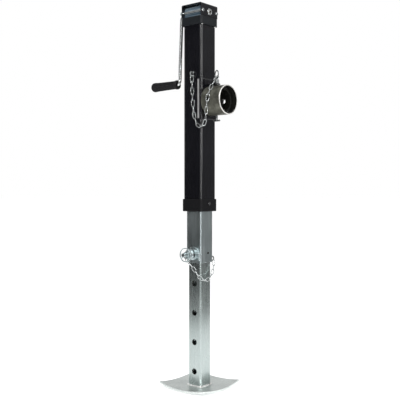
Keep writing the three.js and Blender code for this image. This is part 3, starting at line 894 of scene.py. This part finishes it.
def saddle():
    def plate_body(bm):
        outline = mm([(20, -33.2), (27.4, -34), (34, -34), (34, 34), (27.4, 34), (20, 33.2), (20, 30.3),
                      (30.3, 30.3), (30.3, -30.3), (20, -30.3)])
        sizes = [size * MM for size in (0.9, 0.5, 7, 7, 0.5, 0.9, 0.9, 4, 4, 0.9)]
        plate(bm, soften(outline, sizes, closed=True, steps=8), 696 * MM, 796 * MM, X, Y, Z, 0.25 * MM)

    piece("saddle_fine", plate_body, "saddle_plate")
    for end, z, seed in (("low", 695.8, 3), ("high", 796.2, 4)):
        path = [at(31.6, y, z) for y in (-24, -8, 8, 24)]
        detail("saddle_weld_" + end, weld_bead(path, 1.9, seed), "saddle_plate")

    stub = turned_ring([(27, 34.3), (31.9, 34.3), (31.9, 80.5), (27, 80.5)], 0.7, X, PIPE_AXIS, 128)
    # The stub, deep inside the pipe, is given painted shade.
    made = piece("pivot_stub_fine", stub, "pivot_stub", look="painted_bore_shade", cuts=bar(6.8, -45, 45, Y, CROSS))
    drill(made, bar(6.8, 0, 45, Z, CROSS))
    smooth(made)
    split = bar(2.2, 20, 40, Vector((0, -0.5, -0.866)), at(77.5, 0, PIPE_Z), 12)
    snap_ring = turned_ring([(32.2, 76.5), (34, 76.5), (34, 78.5), (32.2, 78.5)], 0.3, X, PIPE_AXIS, 96)
    piece("snap_ring_fine", snap_ring, "pivot_retaining_ring", cuts=split)


def lock_pin():
    def lug(bm):
        outline = [(34.3, -9), (CROSS_X, -9)]
        for k in range(1, 24):
            turn = math.pi * k / 24
            outline.append((CROSS_X + 9 * math.sin(turn), -9 * math.cos(turn)))
        outline += [(CROSS_X, 9), (34.3, 9)]
        plate(bm, mm(outline), 780.3 * MM, 784.3 * MM, X, Y, Z, 0.6 * MM)

    piece("lock_lug_fine", lug, "lock_pin_guide", cuts=bar(6.4, 770, 790, Z, CROSS_LINE))
    for end, z, seed in (("low", 780, 3), ("high", 784.6, 4)):
        path = [at(34.9, y, z) for y in (-8.5, -3, 3, 8.5)]
        detail("lock_lug_weld_" + end, weld_bead(path, 1.5, seed), "lock_pin_guide")

    def pin(bm):
        profile = mm([(5, 779.2), (6, 780.4), (6, 794), (3.8, 795.2), (3.8, 801.2), (3, 802)])
        lathe(bm, soften(profile, 0.4 * MM), Z, CROSS_LINE, 40)

    eye_side = Vector((0.9, -0.436, 0)).normalized()
    piece("lock_pin_fine", pin, "lock_pin", cuts=bar(2.3, -12, 12, eye_side, at(CROSS_X, 0, 798.6), 24))
    eye, eye_axis = at(CROSS_X, 0, 808.1), Z.cross(eye_side)
    piece("lock_pin_eye_fine",
          lambda bm: wire_ring(bm, eye, eye_axis, 9.5 * MM, 1.4 * MM, 56), "lock_pin_eye")


# ---- outer tube and collar

TUBE_HALF, RAM_HALF, LEG_HALF = 30, 24.5, 21  # half the tubes' widths


def outer_tube():
    piece("outer_tube_fine", square_tube(TUBE_HALF, 4.5, 6, 462, 952.5), "outer_tube")

    def collar(bm):
        section = [(25, 458), (31.6, 458), (33, 459.6), (33, 490), (30.3, 490), (30.3, 461.7), (25, 461.7)]
        loops = []
        for half, z in soften(mm(section), 0.5 * MM, closed=True):
            radius = max(3.0 * MM, 7 * MM - (33 * MM - half))
            loops.append(square_loop(half, radius, z))
        loft(bm, loops, closed=True)

    piece("collar_fine", collar, "bottom_collar")
    for side, name in ((-1, "left"), (1, "right")):
        axis = X * side

        def head(bm):
            profile = mm([(4, 33.3), (4, 33.9), (3.4, 34.9), (2.2, 35.3), (1.2, 35.5)])
            lathe(bm, profile, axis, at(0, 0, 478), 32)

        made = piece(f"collar_screw_{name}_fine", head, "collar_screw_" + name)
        slot_at = at(35.45 * side, 0, 478)
        for along in (Y, Z):
            drill(made, bar(0.55, -2.1, 2.1, along, slot_at, 8, 0.1))
        smooth(made)
    chain_eye("upper_eye", "chain_eye_upper", at(3.5, -34.5, 810), 6 * MM, 1.8 * MM, -Y, TUBE_HALF * MM)


# ---- gear head

AXLE_Z = 970
AXLE = at(0, 0, AXLE_Z)  # the crank's shaft


def bolt_place(side):
    """The middle of the front (-1) or the rear (1) bolt through the cover."""
    return at(0, 28 * side, AXLE_Z)


def round_loop(radius, z, like):
    """A circle whose points stand in the same directions as those of another loop."""
    return [Vector((p.x, p.y, 0)).normalized() * radius + Z * z for p in like]


def gear_base():
    def body(bm):
        corner = 5 * MM
        loops = []
        for inset, z in rims(936 * MM, 957 * MM, 0.6 * MM):
            loops.append(square_loop(33.6 * MM - inset, corner, z))
        model = loops[0]
        for radius, z in ((24.0, 957), (23.4, 956.4), (23.4, 953)):
            loops.append(round_loop(radius * MM, z * MM, model))
        loops.append(square_loop(30.6 * MM, 2 * MM, 953 * MM))
        loops.append(square_loop(30.6 * MM, 2 * MM, 936 * MM))
        loft(bm, loops, closed=True)

    piece("gear_base_fine", body, "gear_base", look="satin_paint")
    for where, centre, size in (("near", (31.3, -27, 935.6), 2.4), ("far", (31.3, 24, 935.0), 2.8)):
        weld_spot("skirt_tack_" + where, "gear_base", centre, size, 0.7, 0.12, where)


def gear_cover():
    def body(bm):
        outline = mm([(-33, 957.3), (-30.5, 957.3), (-30.5, 987.5), (30.5, 987.5), (30.5, 957.3), (33, 957.3),
                      (33, 990), (-33, 990)])
        sizes = [size * MM for size in (0.9, 0.9, 1.2, 1.2, 0.9, 0.9, 3.6, 3.6)]
        plate(bm, soften(outline, sizes, closed=True, steps=4), -33 * MM, 33 * MM, X, Z, -Y, 0.25 * MM)

    made = piece("gear_cover_fine", body, "gear_cover", cuts=bar(8.6, -50, 50, X, AXLE))
    for side in (-1, 1):
        drill(made, bar(3.5, -50, 50, X, bolt_place(side)))
    smooth(made)


def shield_outline():
    """The shield's section: (outwards, upwards). It rises, then leans in under the cover's top."""
    def bend(start, pull, end, steps=12):
        a, b, c = Vector(start), Vector(pull), Vector(end)
        spans = [k / steps for k in range(1, steps + 1)]
        return [tuple(a * (1 - t) ** 2 + b * 2 * t * (1 - t) + c * t * t) for t in spans]

    outline = [(22.2, 957.3), (23.7, 957.3), (23.7, 974)]
    outline += bend((23.7, 974), (23.4, 984.2), (16.2, 987.2))
    outline += [(14.2, 987.2)]
    outline += bend((14.2, 987.2), (21.6, 982.2), (22.2, 974))
    return mm(outline)


def head_fittings():
    for name, side in (("front", -1), ("rear", 1)):
        out = Y * side
        wall = out.cross(Z)
        piece(f"gear_shield_{name}_fine",
              lambda bm: plate(bm, shield_outline(), -30.2 * MM, 30.2 * MM, out, Z, wall, 0.2 * MM),
              "gear_shield_" + name)
        where = bolt_place(side)

        def bolt(bm):
            rod(bm, 3 * MM, -30 * MM, 33.4 * MM, X, where, 24)
            thread(bm, 3 * MM, 0.45 * MM, 1 * MM, -39 * MM, -30 * MM, X, where)
            hex_head(bm, 7.8 * MM, 33.3 * MM, 36 * MM, X, where)

        piece(f"cover_bolt_{name}_fine", bolt, "cover_bolt_" + name, look="bright_bolt")
        piece(f"cover_nut_{name}_fine",
              lambda bm: hex_head(bm, 8.9 * MM, 33.4 * MM, 38 * MM, -X, where), "cover_nut_" + name,
              cuts=bar(3.05, 30, 45, -X, where, 24))
    left = [(7.3, -36), (10.5, -36), (10.5, -33.3), (8.2, -33.3), (8.2, -28.8), (7.3, -28.8)]
    right = [(5.8, 28.2), (10.5, 28.2), (10.5, 30.2), (8.2, 30.2), (8.2, 33), (5.8, 33)]
    washer = [(5.8, 33.3), (8.4, 33.3), (8.4, 34.6), (5.8, 34.6)]
    piece("bushing_left_fine", turned_ring(left, 0.3, X, AXLE), "shaft_bushing_left")
    piece("bushing_right_fine", turned_ring(right, 0.3, X, AXLE), "shaft_bushing_right")
    piece("shaft_washer_fine", turned_ring(washer, 0.4, X, AXLE), "shaft_washer", look="bright_bolt")
    # A thin dark disc on the shaft's end: painted shade of its centre hole.
    detail("shaft_centre_hole_shade", bar(3.4, 35.4, 35.8, X, AXLE, 32, 0.15), "crank_shaft", look="painted_bore_shade")


# ---- crank and grip

GRIP_Z = 794
ARM = (
    (-50.8, AXLE_Z), (-53, AXLE_Z), (-57, AXLE_Z), (-60.2, 966), (-61.4, 958), (-62.2, 946), (-63.2, 920),
    (-67, 844), (-68, 808), (-70, 799.5), (-75, 794.8), (-82, GRIP_Z), (-110, GRIP_Z), (-140, GRIP_Z),
    (-166, GRIP_Z),
)


def crank():
    bolt_at = at(-43, 0, AXLE_Z)
    socket = [(4.9, -55.5), (8.5, -55.5), (10, -54), (10, -37.2), (7.3, -37.2), (7.3, -50.5), (4.9, -50.5)]
    piece("crank_socket_fine", turned_ring(socket, 0.5, X, AXLE), "crank_socket",
          cuts=bar(2.9, -20, 20, Y, bolt_at, 24))
    path = spline([at(x, 0, z) for x, z in ARM], 1.5 * MM)
    piece("crank_arm_fine", lambda bm: sweep(bm, path, 4.6 * MM, 32), "crank_arm", look="bright_bar")
    bead = circle(5.4 * MM, at(-55.6, 0, AXLE_Z), X, 48)
    detail("crank_weld", weld_bead(bead, 1.1, 4, closed=True), "crank_arm")

    def bolt(bm):
        rod(bm, 2.6 * MM, -12 * MM, 9 * MM, Y, bolt_at, 24)
        thread(bm, 2.6 * MM, 0.4 * MM, 0.9 * MM, 9 * MM, 15 * MM, Y, bolt_at)
        hex_head(bm, 7.8 * MM, 10.3 * MM, 13.8 * MM, -Y, bolt_at)

    piece("crank_bolt_fine", bolt, "crank_bolt")
    piece("crank_nut_fine", lambda bm: hex_head(bm, 7.8 * MM, 10.3 * MM, 14.3 * MM, Y, bolt_at), "crank_nut",
          cuts=bar(2.65, 5, 20, Y, bolt_at, 24))


def grip():
    """A grip with fine lengthwise ribs between its flange and its swollen outer end."""
    sections = mm([
        (5.2, 164), (9.4, 164), (10.6, 163.5), (11.6, 162.2), (12.4, 160), (12.6, 157), (12.4, 154),
        (11.9, 147), (11.6, 138), (11.4, 127), (11.1, 112), (10.9, 96), (10.8, 84), (11.2, 81.5),
        (12, 80.8), (12.2, 79.5), (12.2, 76.5), (11.6, 75.1), (10.4, 74), (8.2, 74), (5.2, 80),
    ])
    ribs, rib_points, rib_depth = 36, 6, 0.64 * MM
    first, last = 82 * MM, 161 * MM

    def body(bm):
        loops = []
        for radius, distance in sections:
            ribbed = first < distance < last
            loop = []
            for i, point in enumerate(circle(1.0, ORIGIN, -X, ribs * rib_points)):
                wave = math.cos(2 * math.pi * i / rib_points)
                depth = rib_depth / 2 * (1 - wave) if ribbed else 0
                loop.append(at(0, 0, GRIP_Z) - X * distance + point * (radius - depth))
            loops.append(loop)
        loft(bm, loops, closed=True)

    piece("grip_fine", body, "handle_grip")

    def cap(bm):
        profile = mm([(6.6, 164.3), (7, 164.8), (6.9, 166.4), (6.0, 168.2), (4.2, 169.3), (2.0, 169.6)])
        lathe(bm, profile, -X, at(0, 0, GRIP_Z), 40)

    piece("grip_cap_nut_fine", cap, "grip_cap_nut")


# ---- ram and leg latch

LATCH_Z = 347.5
LATCH = at(0, 0, LATCH_Z)  # the leg's plunger runs along Y through here
RAM_HOLE = at(0, 5, 350)


def ram():
    tube = square_tube(RAM_HALF, 3, 4, 325.5, 725)
    made = piece("ram_fine", tube, "ram_tube", cuts=bar(6.4, 0, 40, -Y, LATCH))
    drill(made, bar(3.2, 10, 40, X, RAM_HOLE, 24))
    smooth(made)
    # The hole's walls, and a dark disc inside it, are painted shade.
    darken(made, lambda c, n: math.hypot(c.y - 5, c.z - 350) < 3.3 and c.x > 21 and abs(n.x) < 0.5)
    detail("ram_hole_shade", bar(3.1, 23.2, 23.8, X, RAM_HOLE, 24, 0.1), "ram_tube", look="painted_bore_shade")
    chain_eye("lower_eye", "chain_eye_lower", at(20, 28.5, 334), 5.5 * MM, 1.6 * MM, Y, RAM_HALF * MM)


def latch():
    def plate_body(bm):
        outline = [(-19, 330.5), (19, 330.5), (19, LATCH_Z)]
        for k in range(1, 40):
            turn = math.pi * k / 40
            outline.append((19 * math.cos(turn), LATCH_Z + 19 * math.sin(turn)))
        outline.append((-19, LATCH_Z))
        plate(bm, mm(outline), 24.8 * MM, 27.5 * MM, X, Z, -Y, 0.7 * MM)

    piece("latch_plate_fine", plate_body, "latch_plate", cuts=bar(6.4, 10, 40, -Y, LATCH))
    for name, x, seed in (("left", -19.4, 4), ("right", 19.4, 5)):
        path = [at(x, -24.9, z) for z in (332, 338, 346, 352)]
        detail("latch_weld_" + name, weld_bead(path, 1.5, seed), "latch_plate")

    housing = [(8.4, 27.8), (14.5, 27.8), (14.5, 31.5), (10.2, 32.5), (10.2, 37), (13.4, 38), (13.4, 44.2),
               (12.2, 45.4), (6.4, 45.4), (6.4, 43.4), (8.4, 43.4)]
    made = piece("latch_housing_fine", turned_ring(housing, 0.6, -Y, LATCH, 72), "latch_housing")
    # The neck groove between the housing's flanges is painted shade.
    darken(made, lambda c, n: -37.4 < c.y < -32.2 and math.hypot(c.x, c.z - LATCH_Z) < 11)

    def spring(bm):
        points = []
        for i in range(73):
            turn = 2 * math.pi * 3 * i / 72
            points.append(at(7.3 * math.cos(turn), -38.5 - 4.2 * i / 72, LATCH_Z + 7.3 * math.sin(turn)))
        sweep(bm, points, 0.4 * MM, 8)

    piece("latch_spring_fine", spring, "latch_spring")
    crossbar = Vector((0.8, 0, 0.6))
    bar_at = at(0, -57, LATCH_Z)

    def plunger(bm):
        profile = mm([(4.6, 21.5), (6, 23), (6, 36.2), (5.3, 36.3), (5.3, 37.7), (6, 37.8), (6, 64.6),
                      (5.7, 65.5), (5, 66), (3.5, 66.2)])
        lathe(bm, profile, -Y, LATCH, 56)

    piece("latch_plunger_fine", plunger, "latch_plunger", cuts=bar(1.9, -20, 20, crossbar, bar_at, 20))
    clip = turned_ring([(5.6, 36.4), (7.8, 36.4), (7.8, 37.6), (5.6, 37.6)], 0.2, -Y, LATCH, 48)
    piece("plunger_clip_fine", clip, "plunger_clip",
          cuts=bar(1.5, 3, 12, Z, at(0, -37, LATCH_Z), 12))
    piece("chain_ring_fine",
          lambda bm: wire_ring(bm, at(0, -53, 346.3), Y, 8.8 * MM, 1.2 * MM, 48), "chain_ring")

    def pull_ring(bm):
        wire_ring(bm, bar_at, Y, 17 * MM, 1.5 * MM, 72)
        rod(bm, 1.4 * MM, -16.4 * MM, 16.4 * MM, crossbar, bar_at, 16)

    piece("pull_ring_fine", pull_ring, "pull_ring")


# ---- drop leg and foot

LEG_HOLES = 5
HOLE_PITCH = 76.2
FOOT_HALF = 78
FOOT_FLAT = 26  # flat this far out, dished beyond
FOOT_THICK = 4.8
CORNER_LIFT, EDGE_LIFT = 8.5, 3


def drop_leg():
    made = piece("drop_leg_fine", square_tube(LEG_HALF, 4, 5, 5.1, 387.5), "drop_leg", look="leg_zinc")
    for i in range(LEG_HOLES):
        def hole(bm):
            profile = mm([(8.4, -21.6), (7, -20.1), (7, 20.1), (8.4, 21.6)])
            lathe(bm, profile, Y, at(0, 0, LATCH_Z - HOLE_PITCH * i), 48)

        drill(made, hole)
    smooth(made)
    # The walls of the leg's holes are painted shade.
    darken(made, lambda c, n: abs(c.x) < 8.5 and 16.5 < abs(c.y) < 21.05 and abs(n.y) < 0.9 and c.z > 20)


def foot_point(u, v, height):
    """A point of the dished foot, in millimetres above its underside. u and v run from -1 to 1."""
    x = FOOT_HALF * u * math.sqrt(1 - 0.1 * v * v)
    y = FOOT_HALF * v * math.sqrt(1 - 0.1 * u * u)
    out = max(0.0, (max(abs(x), abs(y)) - FOOT_FLAT) / (FOOT_HALF - FOOT_FLAT))
    lift = CORNER_LIFT * (u * v) ** 2 * min(1.0, 1.5 * out) + EDGE_LIFT * out * out
    return at(x, y, height + lift)


def foot():
    cells = 44

    def border(size, height):
        ticks = [2 * k / cells - 1 for k in range(cells)]
        around = [(t, -1) for t in ticks] + [(1, t) for t in ticks]
        around += [(-t, 1) for t in ticks] + [(-1, -t) for t in ticks]
        return [foot_point(u * size, v * size, height) for u, v in around]

    def body(bm):
        top = FOOT_THICK
        loops = []
        for k in range(1, 24):
            loops.append(border(k / 24, 0))
        loops += [border(0.992, 0), border(0.997, 0.3), border(1, 1.2), border(1, top - 1.4)]
        loops += [border(0.997, top - 0.4), border(0.99, top)]
        for k in range(23, 0, -1):
            loops.append(border(k / 24, top))
        loft(bm, loops)

    piece("foot_fine", body, "foot_plate", look="foot_zinc")
    corners = square_loop(22 * MM, 6 * MM, 5.4 * MM, 10)
    path = spline(corners + corners[:1], 1.2 * MM)[:-1]
    detail("foot_weld", weld_bead(path, 2.3, 9, closed=True), "foot_plate", look="bare_weld")
    spots = (
        ("near", (21.2, -21.2, 6.6), 3.4),
        ("left", (-21.4, -21.4, 6.2), 2.8),
        ("right", (21.4, 21.4, 6.4), 2.9),
        ("far", (-21.4, 21.4, 6.2), 2.6),
    )
    for where, centre, size in spots:
        weld_spot("foot_blob_" + where, "foot_plate", centre, size, 0.8, 0.15, where)


# ---- the whole jack

def finish_kept_nodes():
    """The pieces inside keep their CAD meshes and get the same procedural finishes."""
    for name, node in frame["nodes"].items():
        if not node.hide_render:
            node.data.materials.clear()
            node.data.materials.append(MATERIALS[SLOT_OF[name]])


add_camera()
add_lights()
add_floor()
add_world()
chains()
pipe_mount()
clamp_screw()
saddle()
lock_pin()
outer_tube()
gear_base()
gear_cover()
head_fittings()
crank()
grip()
ram()
latch()
drop_leg()
foot()
finish_kept_nodes()
